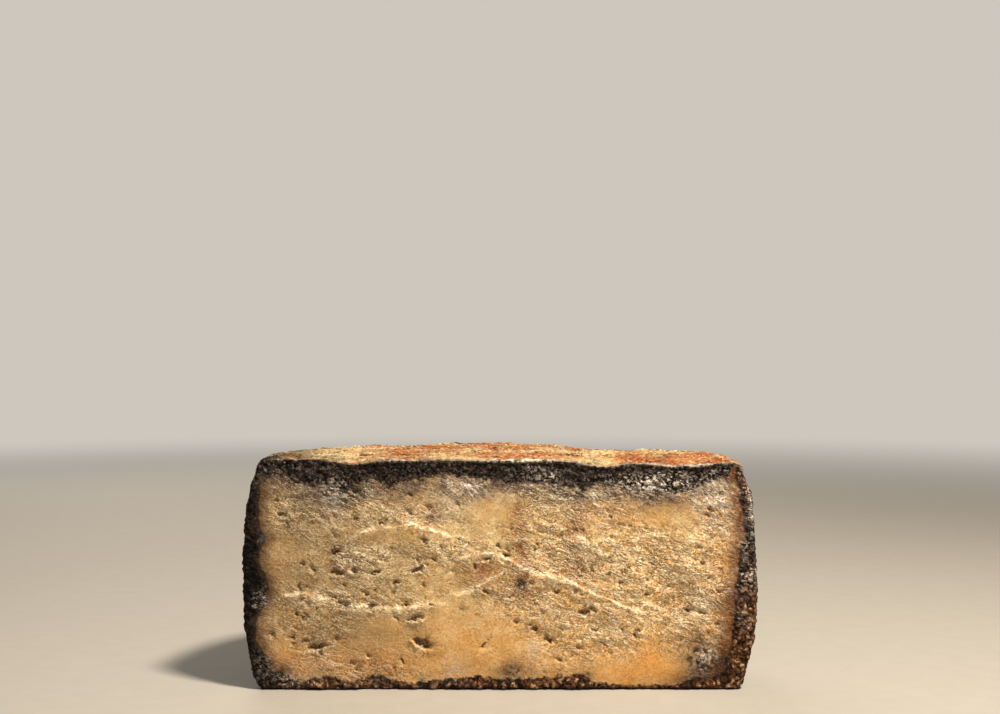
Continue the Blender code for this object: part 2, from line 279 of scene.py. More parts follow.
# The flat layout: how large each side is drawn, per metre, and where its corner lies
LAYOUT = {"cut": (4.4, (0.01, 0.008)), "top": (2.16, (0.01, 0.752)), "base": (2.16, (0.51, 0.752)),
          "side": (2.78, (0.01, 0.463))}
SIDE_SHARE = 0.4

# What is written on the surface for its colours to read
MASKS = ("rind", "mould", "gold", "stain", "bloom", "gloom", "height", "scraped", "torn", "crest", "knob",
         "cut", "lip", "top")

DIRECTIONS = np.random.default_rng(5).normal(size=(1024, 3))
DIRECTIONS /= np.linalg.norm(DIRECTIONS, axis=1, keepdims=True)
# Large primes that mix a cell's whole numbers into one, and how far a seed shifts the grid
HASH_STEPS = np.array([73856093, 19349663, 83492791])
SEED_SHIFT = 7.31


def ease(low, high, values):
    """0 below low, 1 above high, and smooth between."""
    share = np.clip((values - low) / (high - low), 0, 1)
    return share * share * (3 - 2 * share)


def soft_noise(points, wavelength, seed):
    """Smooth noise, about -1 to 1, from random slopes on a grid of this wavelength."""
    grid = points / wavelength + seed * SEED_SHIFT
    cell = np.floor(grid).astype(np.int64)
    inside = grid - cell
    fade = inside**3 * (inside * (inside * 6 - 15) + 10)
    total = np.zeros(len(points))
    for corner in itertools.product((0, 1), repeat=3):
        key = ((cell + corner) * HASH_STEPS).sum(1)
        slope = DIRECTIONS[(key ^ (key >> 11)) % len(DIRECTIONS)]
        share = np.where(corner, fade, 1 - fade).prod(1)
        total += (slope * (inside - corner)).sum(1) * share
    return total * 1.5


def layered_noise(points, wavelength, seed, layers=3):
    """Soft noise with finer and weaker layers on it."""
    return sum(soft_noise(points, wavelength / 2**n, seed + n) / 2**n for n in range(layers))


def chips(flat, size, seed):
    """Angular chips, about -1 to 1, over X and Z: each cell of a random net is a plane with its own tilt."""
    grid = flat[:, [0, 2]] / size
    cell = np.floor(grid).astype(np.int64)
    nearest, height = np.full(len(flat), np.inf), np.zeros(len(flat))
    for step in itertools.product((-1, 0, 1), repeat=2):
        key = ((cell + step) * HASH_STEPS[:2]).sum(1) + seed * HASH_STEPS[2]
        pick = (key ^ (key >> 11)) % len(DIRECTIONS)
        away = cell + step + 0.5 + 0.45 * DIRECTIONS[pick, :2] - grid
        distance = (away**2).sum(1)
        closer = distance < nearest
        tilted = (away * DIRECTIONS[pick - 137, :2]).sum(1) * 1.3 + DIRECTIONS[pick, 2] * 0.5
        nearest[closer], height[closer] = distance[closer], tilted[closer]
    return height


def knobs_on(points, seed):
    """Crackled knobs with narrow creases between them, 0 to 1."""
    return np.clip(np.abs(layered_noise(points, KNOB_SPACING, seed, 3)) * 2.4, 0, 1)


def slits(points, wavelength, seed):
    """Short narrow cracks, 0 to 1."""
    line = np.maximum(1 - 5.5 * np.abs(layered_noise(points, wavelength, seed)), 0)
    return line * ease(0.0, 0.35, soft_noise(points, 0.7 * wavelength, seed + 9))


def side_radius(height):
    """The barrel side's radius at a height, before the rims are rounded."""
    reach = WHEEL_HEIGHT - BELLY_HEIGHT if height > BELLY_HEIGHT else BELLY_HEIGHT
    return WHEEL_RADIUS - SIDE_DRAW_IN * (abs(height - BELLY_HEIGHT) / reach) ** 3


def rim_arc(height, round_radius, start, end):
    """Quarter circle of a rim, as radius and height, with its angles in degrees."""
    centre = side_radius(height) - round_radius
    angles = np.radians(np.linspace(start, end, RIM_STEPS + 1))
    return [(centre + round_radius * math.cos(a), height + round_radius * math.sin(a)) for a in angles]


def wheel_profile():
    """Half section of the wheel, from the axis at the top, down the side, to the axis at the base."""
    top_height = WHEEL_HEIGHT - TOP_RIM_ROUND
    side_heights = np.linspace(top_height, BASE_RIM_ROUND, SIDE_STEPS + 1)[1:-1]
    outline = [(0, WHEEL_HEIGHT)]
    outline += rim_arc(top_height, TOP_RIM_ROUND, 90, 0)
    outline += [(side_radius(z), z) for z in side_heights]
    outline += rim_arc(BASE_RIM_ROUND, BASE_RIM_ROUND, 0, -90)
    outline += [(0, 0)]
    return outline


def applied(obj, name):
    """A new mesh object with obj's modifiers applied. obj is removed."""
    graph = bpy.context.evaluated_depsgraph_get()
    mesh = bpy.data.meshes.new_from_object(obj.evaluated_get(graph))
    made = bpy.data.objects.new(name, mesh)
    bpy.context.scene.collection.objects.link(made)
    bpy.data.objects.remove(obj)
    return made


def half_wheel():
    """The plain half wheel: the profile turned through half a turn, and closed across the cut."""
    outline = [(radius, 0, height) for radius, height in wheel_profile()]
    mesh = bpy.data.meshes.new("profile")
    mesh.from_pydata(outline, [(n, n + 1) for n in range(len(outline) - 1)], [])
    obj = bpy.data.objects.new("profile", mesh)
    bpy.context.scene.collection.objects.link(obj)
    screw = obj.modifiers.new("half_turn", "SCREW")
    screw.angle = math.pi
    screw.steps = screw.render_steps = HALF_TURN_STEPS
    screw.use_merge_vertices = True
    screw.merge_threshold = 0.00001
    obj = applied(obj, "half_wheel")
    faces = bmesh.new()
    faces.from_mesh(obj.data)
    bmesh.ops.holes_fill(faces, edges=faces.edges[:])
    bmesh.ops.recalc_face_normals(faces, faces=faces.faces[:])
    faces.to_mesh(obj.data)
    faces.free()
    return obj


def carving_blank(obj):
    """The half wheel with its cut edges rounded, as an even net of small faces."""
    bevel = obj.modifiers.new("cut_edges", "BEVEL")
    bevel.width = CUT_EDGE_ROUND
    bevel.segments = CUT_EDGE_STEPS
    bevel.angle_limit = CUT_EDGE_ANGLE
    remesh = obj.modifiers.new("even_net", "REMESH")
    remesh.mode = "VOXEL"
    remesh.voxel_size = CARVING_STEP
    return applied(obj, "gamoneu")


def turned(points, degrees, stretch):
    """The cut face's points turned and squeezed along the turned X, so that noise runs that way."""
    turn = math.radians(degrees)
    along = points[:, 0] * math.cos(turn) + points[:, 2] * math.sin(turn)
    across = points[:, 2] * math.cos(turn) - points[:, 0] * math.sin(turn)
    return np.stack([along / stretch, points[:, 1], across], 1)


def patches(points, rows):
    """How strongly a list of soft patches covers each point of the cut face, from 0 to 1."""
    clear = np.ones(len(points))
    for x, z, reach_x, reach_z, strength in rows:
        away = ((points[:, 0] / MM - x) / reach_x) ** 2 + ((points[:, 2] / MM - z) / reach_z) ** 2
        clear *= 1 - strength * np.exp(-away)
    return 1 - clear


def ledge_height(points, name, seed):
    """How proud the paste stands under one torn step, and where its pale crest runs, with its painted
    highlight.
    """
    proud, line = LEDGES[name]
    line_x, line_z = np.array(line).T * MM
    x, z = points[:, 0], points[:, 2]
    ragged = layered_noise(points * (1, 0, 0), 7 * MM, seed) * LEDGE_RAGGED
    ragged = ragged + chips(points, SMALL_CHIPS[0], seed + 7) * LEDGE_TORN
    below = np.interp(x, line_x, line_z) + ragged - z
    step = ease(0, LEDGE_CREST, below) * np.exp(-np.maximum(below, 0) / LEDGE_RUN_OUT)
    ends = ease(line_x[0], line_x[0] + LEDGE_END_FADE, x)
    ends *= ease(-line_x[-1], LEDGE_END_FADE - line_x[-1], -x)
    crest = np.exp(-(((below - CREST_BELOW) / CREST_REACH) ** 2)) * ends
    crest *= ease(-0.3, 0.2, layered_noise(points, 4 * MM, seed + 6))
    return proud * step * ends * (1 + 0.35 * soft_noise(points, 11 * MM, seed + 5)), crest


def scattered_eyes():
    """Further small eyes at random over the paste, thickest on the left."""
    draw = np.random.default_rng(EYE_SEED)
    for _ in range(SCATTERED_EYES):
        x = draw.uniform(-1, 0.9) * SCATTERED_OUT_TO
        z = draw.uniform(12, 82)
        width = draw.uniform(1.3, 2.2) * LOOKS_SMALLER
        height, depth = width * draw.uniform(0.6, 0.9, 2)
        yield (x, z, width, height, depth, draw.uniform(-50, 20))


def tears():
    """Tears too small for the solid, thickest where the paste is torn. They lean down to the right, more so
    on the left side."""
    draw = np.random.default_rng(TEAR_SEED)
    places = np.stack([draw.uniform(-100, 99, TEARS), np.zeros(TEARS), draw.uniform(7, 90, TEARS)], 1) * MM
    kept = draw.uniform(0, 1, TEARS) < 0.22 + 0.78 * patches(places, TORN) - patches(places, WAX)
    for x, _, z in places[kept] / MM:
        width = 0.5 + 1.3 * draw.uniform() ** 2.5
        height, depth = width * draw.uniform(0.4, 0.75), width * draw.uniform(0.5, 1.0)
        lean = -15 - 25 * (x < -10)
        yield (x, z, width, height, depth, lean + draw.uniform(-30, 30))


def eye_height(points, eye):
    """One opening: cut in steeply under its upper edge, and rising to a small lip along its lower one."""
    x, z, half_width, half_height, depth, tilt = eye
    turn = math.radians(tilt)
    across, up = points[:, 0] - x * MM, points[:, 2] - z * MM
    along = (across * math.cos(turn) + up * math.sin(turn)) / (half_width * MM)
    over = (up * math.cos(turn) - across * math.sin(turn)) / (half_height * MM)
    reach = np.hypot(along, over)
    bowl = (1 - ease(0.55, 1.1, reach)) * (0.3 + 0.7 * ease(-1.1, 0.3, over))
    lip = np.exp(-(((reach - 1.2) / 0.25) ** 2)) * ease(-0.1, -0.8, over)
    lip *= ease(-0.4, 0.4, soft_noise(points, 2 * MM, 67))
    return depth * MM * (EYE_LIP * lip - bowl)


def eyes_height(points, eyes):
    """All of these openings. Each is worked out only for the points near it."""
    total = np.zeros(len(points))
    ragged = points.copy()
    for axis in (0, 2):
        ragged[:, axis] += soft_noise(points, RAGGED_RIM[0], 61 + axis) * RAGGED_RIM[1]
        ragged[:, axis] += chips(points, TORN_RIM[0], 63 + axis) * TORN_RIM[1]
    for eye in eyes:
        near = np.abs(points[:, [0, 2]] - np.array(eye[:2]) * MM).max(1) < 2.2 * eye[2] * MM
        total[near] += eye_height(ragged[near], eye)
    return total


def crust_share(points):
    """1 inside the mouldy hollow, 0 outside."""
    offset = (points[:, [0, 2]] - CRUST_CENTRE) / CRUST_REACH
    return 1 - ease(0.6, 1.2, np.linalg.norm(offset, axis=1))


def crust_height(points):
    """The mouldy hollow with its knobbly crust."""
    knobs = 1 - 2 * np.abs(soft_noise(points, 3.6 * MM, 71))
    return crust_share(points) * CRUST_DEPTH * (0.9 * knobs - 0.7)


def edge_rolls(points):
    """The rind's lip along the top of the cut, and its rolled crust along the base."""
    x, z = points[:, 0], points[:, 2]
    lip = ease(WHEEL_HEIGHT - TOP_LIP_HEIGHT, WHEEL_HEIGHT - TOP_LIP_FULL, z) * TOP_LIP_OUT
    lip *= 1 + 0.7 * layered_noise(points, 12 * MM, 81)
    start, end = BASE_ROLL_ENDS
    span = ease(start, start + BASE_ROLL_FADE, x) * (1 - ease(end - BASE_ROLL_FADE, end, x))
    crown = BASE_ROLL_HEIGHT * (1 + 0.35 * soft_noise(points, 8 * MM, 83))
    roll = np.exp(-(((z - 0.6 * crown) / (0.5 * crown)) ** 2)) * BASE_ROLL_OUT
    roll *= span * ease(-0.35, 0.35, soft_noise(points * (1, 0, 0.4), 7.5 * MM, 85))
    return lip + roll


def shingles(leaning, spacing, seed):
    """Ragged shingles, each proud under its upper edge and sinking back to the next. Also gives the edges."""
    level = leaning[:, 2] / spacing + 1.1 * layered_noise(leaning, 2.2 * spacing, seed, 3)
    level += 0.3 * chips(leaning, 0.4 * spacing, seed + 5)
    tooth = level - np.floor(level)
    broken = ease(-0.35, 0.25, soft_noise(leaning, 1.6 * spacing, seed + 7))
    return (tooth - ease(0.86, 1, tooth)) * broken, ease(0.72, 0.86, tooth) * broken


def stepped(level, softness):
    """Flat treads with soft risers, from a smooth level."""
    tread = np.floor(level)
    return tread + ease(1 - softness, 1, level - tread)


def crumb_height(flat, torn):
    """The torn crumb: plates, shingles, chips, cracks, grain and scratches, and its pale edges, partly
    painted highlight.
    """
    right = ease(-10 * MM, 60 * MM, flat[:, 0])
    leaning, falling = turned(flat, -14, 1.7), turned(flat, -40, 1.8)
    shake = np.stack([soft_noise(flat, 3 * MM, seed) for seed in (123, 124, 125)], 1)
    shaken = leaning + shake * 0.6 * MM
    plates = stepped(layered_noise(leaning, PLATES[0], 101) * 2.2, 0.25) * PLATES[1]
    large, large_edge = shingles(shaken, SHINGLES[0], 111)
    small, small_edge = shingles(shaken, FINE_SHINGLES[0], 115)
    flakes = large * SHINGLES[1] + small * FINE_SHINGLES[1]
    broken, torn_open = 0, 0
    for (size, height), seed in ((LARGE_CHIPS, 127), (SMALL_CHIPS, 129)):
        broken = broken + chips(shaken, size, seed) * height
    for (size, depth), seed in ((CRACKS, 171), (SLITS, 175)):
        opened = slits(falling, size, seed) * (1 - right) + slits(leaning, size, seed + 2) * right
        torn_open = torn_open + opened * depth
    grain = layered_noise(flat, GRAIN[0], 121, 2) * GRAIN[1]
    scratches = soft_noise(turned(flat, -52, 12), SCRATCHES[0], 131) * ease(70 * MM, 82 * MM, flat[:, 2])
    scratches += soft_noise(turned(flat, 38, 12), SCRATCHES[0], 133) * ease(26 * MM, 14 * MM, flat[:, 2])
    rough = (plates + flakes + broken - torn_open) * torn + grain + scratches * SCRATCHES[1] * right
    return rough, (0.8 * large_edge + 0.4 * small_edge) * torn


def depth_past(points, line, axis, sign):
    """How far each point lies past a line across the cut face, in millimetres. The line runs along axis."""
    along, across = np.array(line).T
    return sign * (points[:, 2 - axis] / MM - np.interp(points[:, axis] / MM, along, across))


def cut_masks(flat):
    """Where the cut face has rind, dark mould, golden paste, stains and bloom."""
    wobble = layered_noise(flat, 5 * MM, 141) * 1.0 + chips(flat, 1.8 * MM, 143) * 0.8
    rind = depth_past(flat, LEFT_RIND, 2, -1)
    rind = np.maximum(rind, depth_past(flat, RIGHT_RIND, 2, 1))
    rind = np.maximum(rind, depth_past(flat, BASE_CRUST, 0, -1))
    drift = np.stack([soft_noise(flat, 9 * MM, 151), 0 * wobble, soft_noise(flat, 9 * MM, 153)], 1)
    spread = flat + drift * 2.2 * MM
    return {
        "rind": rind + wobble,
        "mould": depth_past(flat, MOULD_EDGE, 0, 1) + wobble,
        "gold": patches(spread, GOLD),
        "stain": patches(spread, STAIN),
        "bloom": patches(spread, BLOOM),
        "gloom": patches(spread, GLOOM),
        "scraped": patches(spread, SCRAPED),
        "torn": np.clip(0.2 + 0.9 * patches(spread, TORN) - 0.9 * patches(spread, WAX), 0.05, 1),
    }


def cut_relief(points, masks):
    """How far the cut face stands out at each point, along -Y, and the fine part of it. Adds two masks."""
    flat = points * (1, 0, 1)
    swell = layered_noise(flat, PASTE_SWELL[0], 21, 2) * PASTE_SWELL[1]
    tear = layered_noise(flat * (0.75, 1, 1.25), PASTE_TEAR[0], 25) * PASTE_TEAR[1]
    ledges = [ledge_height(flat, name, 31 + 4 * n) for n, name in enumerate(LEDGES)]
    crumb, edges = crumb_height(flat, masks["torn"])
    masks["crest"] = np.clip(sum(crest for _, crest in ledges) + 0.7 * edges, 0, 1)
    ledges = sum(height for height, _ in ledges)
    holes = eyes_height(flat, itertools.chain(EYES, scattered_eyes(), tears()))
    crusted = np.maximum(ease(-0.5, 1.5, masks["rind"]), ease(-2, 1.5, masks["mould"]))
    crusted = np.maximum(crusted, crust_share(flat))
    masks["knob"] = knobs_on(flat, 161) * crusted
    knobs = (masks["knob"] * KNOB_HEIGHT + chips(flat, KNOB_CHIPS[0], 165) * KNOB_CHIPS[1]) * crusted
    knobs -= MOULD_SETBACK * ease(-1, 2, masks["mould"])
    fine = tear * (0.4 + 0.6 * masks["torn"]) + holes * (1 - crusted) + crumb * (1 - 0.8 * crusted) + knobs
    fine += crust_height(flat)
    return swell + ledges + edge_rolls(flat) + fine, fine


def rind_relief(points):
    """How far the rind stands out at each point, along its normal, the fine part of it, and its knobs."""
    lumps = layered_noise(points, RIND_LUMPS[0], 91, 2) * RIND_LUMPS[1]
    warts = np.maximum(layered_noise(points, RIND_WARTS[0], 95), -0.15) * RIND_WARTS[1]
    knobs = knobs_on(points, 163)
    fine = warts + (knobs - 0.5) * RIND_KNOBS_LOWER * KNOB_HEIGHT
    on_top = ease(WHEEL_HEIGHT - 6 * MM, WHEEL_HEIGHT - 2 * MM, points[:, 2])
    crags = chips(points[:, (0, 2, 1)], KNOB_CHIPS[0], 167) * KNOB_CHIPS[1] * on_top
    rim = chips(points[:, (0, 2, 1)], RIM_CHIP, 169) * RIM_CRUMBLE
    rim *= np.exp(-np.abs(points[:, 1]) / (2 * MM)) * on_top
    return lumps + fine + crags + rim, fine, knobs


def top_sag(points):
    """How far the top sinks at each point, fading out down the wheel."""
    total = np.zeros(len(points))
    for x, y, reach_x, reach_y, depth in TOP_SAGS:
        away = ((points[:, 0] - x) / reach_x) ** 2 + ((points[:, 1] - y) / reach_y) ** 2
        total += depth * np.exp(-away)
    return total * np.clip(points[:, 2] / WHEEL_HEIGHT, 0, 1) ** 5


def read_vectors(mesh, name):
    values = np.empty(len(mesh.vertices) * 3, np.float32)
    mesh.vertices.foreach_get(name, values)
    return values.reshape(-1, 3).astype(np.float64)


def write_mask(mesh, name, values):
    mask = mesh.attributes.new(name, "FLOAT", "POINT")
    mask.data.foreach_set("value", values.astype(np.float32))


def carve(obj):
    """Moves each point of the blank by the relief of its side, and writes the masks that colour it."""
    mesh = obj.data
    points, normals = read_vectors(mesh, "co"), read_vectors(mesh, "normal")
    cut_share = ease(0.35, 0.9, -normals[:, 1])
    base_share = ease(0.3, 0.9, -normals[:, 2])
    on_cut, on_rind = cut_share > 0, (cut_share < 1) & (base_share < 1)
    masks = {name: np.zeros(len(points)) for name in MASKS}
    masks["rind"] = np.full(len(points), 10.0)
    masks["mould"] = np.full(len(points), -10.0)
    cut_values = cut_masks(points[on_cut] * (1, 0, 1))
    relief, fine = cut_relief(points[on_cut], cut_values)
    for name, values in cut_values.items():
        fade = ease(0, 0.5, cut_share[on_cut])
        masks[name][on_cut] += (values - masks[name][on_cut]) * fade
    carved = points.copy()
    carved[on_cut, 1] -= relief * cut_share[on_cut]
    masks["height"][on_cut] += fine / MM * cut_share[on_cut]
    relief, fine, knobs = rind_relief(points[on_rind])
    share = ((1 - cut_share) * (1 - base_share))[on_rind]
    carved[on_rind] += normals[on_rind] * (relief * share)[:, None]
    masks["height"][on_rind] += fine / MM * share
    masks["knob"][on_rind] += knobs * share
    carved[:, 2] -= top_sag(points)
    carved[base_share > 0.99, 2] = 0
    carved[:, 2] = np.maximum(carved[:, 2], 0)
    mesh.vertices.foreach_set("co", carved.astype(np.float32).ravel())
    masks["cut"], masks["base"] = cut_share, base_share
    masks["top"] = ease(0.35, 0.85, normals[:, 2])
    # Painted highlight along the lip, where the surface faces up and forward
    masks["lip"] = ease(0.35, 0.85, -2 * normals[:, 1] * normals[:, 2]) * (normals[:, 2] > 0)
    masks["lip"] *= patches(points, LIP_HIGHLIGHT)
    for name, values in masks.items():
        write_mask(mesh, name, values)
    mesh.update()


def thin_out(obj):
    """Spends the triangles where the surface turns, and on the cut face first."""
    kept = obj.vertex_groups.new(name="thins_out")
    share = np.empty(len(obj.data.vertices), np.float32)
    obj.data.attributes["cut"].data.foreach_get("value", share)
    kept.add(np.flatnonzero(share > 0.5).tolist(), 0.5, "REPLACE")
    kept.add(np.flatnonzero(share <= 0.5).tolist(), 1.0, "REPLACE")
    thin = obj.modifiers.new("fewer_faces", "DECIMATE")
    thin.vertex_group = kept.name
    thin.vertex_group_factor = CUT_KEPT
    thin.ratio = TARGET_TRIANGLES / (2 * len(obj.data.polygons))
    return applied(obj, "gamoneu")


def settle_in_box(obj):
    """Puts the piece on the middle of the solid's box, on its base, and keeps it inside."""
    points = read_vectors(obj.data, "co")
    low, high = np.array(cad_box[0]), np.array(cad_box[1])
    shift = (low + high) / 2 - (points.min(0) + points.max(0)) / 2
    shift[2] = 0
    points = np.clip(points + shift, low, high)
    obj.data.vertices.foreach_set("co", points.astype(np.float32).ravel())
    obj.data.update()


def lay_flat(obj):
    """A flat layout of the piece: the cut face largest, the side unrolled, then the top and the base."""
    mesh = obj.data
    points = read_vectors(mesh, "co")
    angle = np.arctan2(points[:, 1], points[:, 0])
    angle[angle < -math.pi / 2] += 2 * math.pi
    margin = (WHEEL_RADIUS + MM, CUT_SETBACK)
    level = points[:, :2] + margin
    views = {"cut": points[:, [0, 2]] + (margin[0], 0), "top": level, "base": level,
             "side": np.stack([angle * WHEEL_RADIUS, points[:, 2]], 1)}
    counts = (len(mesh.loops), len(mesh.polygons), len(mesh.polygons))
    corners, starts, sizes = (np.empty(count, np.int32) for count in counts)
    mesh.loops.foreach_get("vertex_index", corners)
    mesh.polygons.foreach_get("loop_start", starts)
    mesh.polygons.foreach_get("loop_total", sizes)
    shares, laid = [], []
    for name, (scale, corner) in LAYOUT.items():
        share = np.full(len(points), SIDE_SHARE, np.float32)
        if name != "side":
            mesh.attributes[name].data.foreach_get("value", share)
        shares.append(np.add.reduceat(share[corners], starts) / sizes)
        laid.append(views[name][corners] * scale + corner)
    zone = np.repeat(np.argmax(shares, axis=0), sizes)
    flat = np.stack(laid)[zone, np.arange(len(corners))]
    mesh.uv_layers.new(name="OFBake").uv.foreach_set("vector", flat.astype(np.float32).ravel())


VECTOR, NUMBER, COLOUR = "NodeSocketVector", "NodeSocketFloat", "NodeSocketColor"
FLAKE_INPUTS = ("Spacing", "Rise", "Wander", "Left Out", "Lip Share", "Seen")
PASTE_INPUTS = ("Gold", "Stain", "Height", "Torn", "Crest", "Scraped", "Lip Highlights", "Gap Shadows", "Left", "Margin",
                "Smoke And Shadow", "Shade")

# Colours, here and below, are as they look on screen, 0 to 255
IVORY = (199, 165, 112)
STRAW = (206, 163, 104)
# Near black for painted shade, on the rind's left side and in its creases
SHADE_BLACK = (12, 6, 3)
POWDERS = {"paste": (214, 196, 184), "rind": (230, 212, 194), "mould": (248, 232, 214)}
BACKDROP = (205, 199, 190)

# Where the paste turns to another colour, through masks made uneven by a noise: its scale, its low and high
# level, how strongly the colour shows below and above them, and the colour
PASTE_PATCHES = {
    # Greyer, darker ivory towards the left, partly painted shade
    "Left": (60, 0.3, 0.7, 0.7, 1.1, (128, 100, 64)),
    "Gold": (70, 0.3, 0.7, 0.6, 1.15, (216, 154, 78)),
    "Stain": (150, 0.3, 0.62, 0.5, 1.3, (150, 90, 36)),
    # Under the mould band: a brown mould stain, partly painted shadow of the top lip
    "Smoke And Shadow": (150, 0.3, 0.65, 0.55, 1.2, (80, 56, 44)),
}
UNEVEN_MARGIN = (110, 0.3, 0.7, 0.75, 1.2)
UNEVEN_CREST_HIGHLIGHT = (500, 0.35, 0.5, 0.55, 1.0)

# Layers of spots: their noise's scale, the levels at which they start and are full, detail, strength, colour
FRECKLES = [(480, 0.62, 0.74, 3, 0.45, (146, 98, 52))]
SIDE_LAYERS = [
    (120, 0.5, 0.6, 3, 1.0, (24, 14, 9)),
    (75, 0.57, 0.68, 3, 1.0, (112, 66, 38)),
    (200, 0.54, 0.7, 5, 0.6, (158, 138, 116)),
    (500, 0.5, 0.62, 3, 0.7, (16, 9, 5)),
]
CRUST_LAYERS = [
    (90, 0.42, 0.62, 5, 1.0, (124, 82, 46)),
    (70, 0.52, 0.66, 5, 1.0, (42, 22, 12)),
]
TOP_LAYERS = [
    (24, 0.42, 0.6, 6, 1.0, (212, 184, 130)),
    (52, 0.53, 0.7, 6, 1.0, (142, 132, 94)),
    (33, 0.46, 0.64, 7, 0.8, (160, 84, 30)),
    (380, 0.46, 0.72, 3, 0.5, (242, 222, 180)),
]
TOP_BLOTCHES = [(80, 0.56, 0.68, 6, 1.0, (66, 36, 16))]


def tint(colour):
    """A colour as it looks on screen, as Blender's linear values."""
    screen = [value / 255 for value in colour]
    return tuple(v / 12.92 if v <= 0.04045 else ((v + 0.055) / 1.055) ** 2.4 for v in screen) + (1.0,)


def add(kind, inputs, output=0, tree=None, **settings):
    """Adds a node to a tree, or to that of its links, sets or links its inputs, and returns one output."""
    tree = tree or next(value.id_data for value in inputs.values() if isinstance(value, bpy.types.NodeSocket))
    node = tree.nodes.new("ShaderNode" + kind)
    for name, value in settings.items():
        setattr(node, name, value)
    for name, value in inputs.items():
        if isinstance(value, bpy.types.NodeSocket):
            tree.links.new(value, node.inputs[name])
        else:
            node.inputs[name].default_value = value
    return node.outputs[output]


def calc(operation, first, second=0.0):
    return add("Math", {0: first, 1: second}, operation=operation)


def times(first, second):
    return calc("MULTIPLY", first, second)


def between(value, low, high, start=0.0, end=1.0):
    """start below low, end above high, and smooth between."""
    inputs = {"Value": value, "From Min": low, "From Max": high, "To Min": start, "To Max": end}
    return add("MapRange", inputs, interpolation_type="SMOOTHSTEP")


def blend(share, *colours):
    """One colour mixed into another. Each is a socket, or a colour for tint."""
    first, second = (c if isinstance(c, bpy.types.NodeSocket) else tint(c) for c in colours)
    return add("Mix", {0: share, 6: first, 7: second}, output=2, data_type="RGBA")


def either(masks, operation="MAXIMUM"):
    """The strongest of several masks at each point, or their sum with operation "ADD"."""
    strongest, *others = masks
    for mask in others:
        strongest = calc(operation, strongest, mask)
    return strongest


def leaning(place, turn, stretch):
    """The place, turned and drawn out, so that noise on it runs in streaks."""
    return add("Mapping", {"Vector": place, "Rotation": turn, "Scale": stretch}, vector_type="TEXTURE")


def noise(place, scale, detail=3.0, roughness=0.55):
    return add("TexNoise", {"Vector": place, "Scale": scale, "Detail": detail, "Roughness": roughness})


def speckle(place, scale, low, high, detail=3.0):
    """A mask of soft-edged random spots. A higher low leaves fewer of them."""
    return between(noise(place, scale, detail), low, high)


def uneven(mask, place, scale, low, high, least, most):
    """A mask made weaker and stronger by a noise: least of it below low, most of it above high."""
    return times(mask, between(noise(place, scale), low, high, least, most))


def layered(place, colour, layers):
    """Layers of spots over a colour."""
    for scale, low, high, detail, strength, name in layers:
        spots = times(speckle(place, scale, low, high, detail), strength)
        colour = blend(spots, colour, name)
    return colour


def new_group(name, inputs, outputs):
    """An empty node group with these sockets, and its input and output nodes."""
    tree = bpy.data.node_groups.new(name, "ShaderNodeTree")
    for side, sockets in (("INPUT", inputs), ("OUTPUT", outputs)):
        for label, kind in sockets.items():
            tree.interface.new_socket(name=label, in_out=side, socket_type=kind)
    return tree, tree.nodes.new("NodeGroupInput").outputs, tree.nodes.new("NodeGroupOutput").inputs


def new_material(name):
    """A material with its node tree and its shader."""
    material = bpy.data.materials.new(name)
    material.use_nodes = True
    return material, material.node_tree, material.node_tree.nodes["Principled BSDF"]


def paste_group():
    """Colour of the paste: ivory to straw, golden where it is ripe, brown where it is stained. Painted shade
    darkens its hollows, the gap over each flake, its left side in part, and its margin by the rind at the
    left; painted highlights lighten its ridges, each flake's lip and the crests of its torn steps.
    """
    inputs = {"Place": VECTOR, **dict.fromkeys(PASTE_INPUTS, NUMBER)}
    tree, given, made = new_group("paste_colour", inputs, {"Colour": COLOUR})
    place, height = given["Place"], given["Height"]
    colour = blend(speckle(place, 42, 0.38, 0.64), IVORY, STRAW)
    colour = blend(speckle(place, 130, 0.45, 0.7), colour, (224, 194, 144))
    for name, (*unevenness, patch) in PASTE_PATCHES.items():
        colour = blend(uneven(given[name], place, *unevenness), colour, patch)
    colour = layered(place, colour, FRECKLES)
    # Painted shade: the paste darker brown in its hollows
    colour = blend(between(height, -0.3, -1.3, 0.0, 0.75), colour, (92, 62, 28))
    # Painted highlight: the paste paler on its ridges
    ridge_highlight = times(between(height, 0.15, 0.9), speckle(place, 300, 0.35, 0.6))
    colour = blend(times(ridge_highlight, 0.6), colour, (238, 220, 180))
    crumbly = between(given["Torn"], 0, 1, 0.1, 0.36)
    for scale, crumb in ((1600, (104, 66, 28)), (1800, (255, 240, 206))):
        spots = times(speckle(place, scale, 0.55, 0.61, 1.0), crumbly)
        colour = blend(spots, colour, crumb)
    # Painted shadow in the gap over each flake, and painted highlight on each lip
    colour = blend(given["Gap Shadows"], colour, (108, 68, 30))
    colour = blend(given["Lip Highlights"], colour, (252, 236, 200))
    # Paler broken edges with a painted highlight along the crests
    colour = blend(uneven(given["Crest"], place, *UNEVEN_CREST_HIGHLIGHT), colour, (250, 234, 200))
    scrape = leaning(place, SCRAPE_TURN, SCRAPE_STRETCH)
    for scale, strength, name in ((900, 1.0, (236, 222, 204)), (1100, 0.6, (106, 76, 52))):
        scraped = times(given["Scraped"], strength)
        spots = times(speckle(scrape, scale, 0.5, 0.6, 2.0), scraped)
        colour = blend(spots, colour, name)
    # The margin darker at the left, partly painted shade
    edge = blend(given["Left"], (104, 56, 14), (64, 38, 16))
    margin = uneven(given["Margin"], place, *UNEVEN_MARGIN)
    colour = blend(times(margin, 0.9), colour, edge)
    # Painted shade over the margin where it meets the rind at the left
    shaded = times(between(given["Margin"], 0.93, 1.0), given["Shade"])
    colour = blend(shaded, colour, (36, 21, 10))
    tree.links.new(colour, made["Colour"])
    return tree


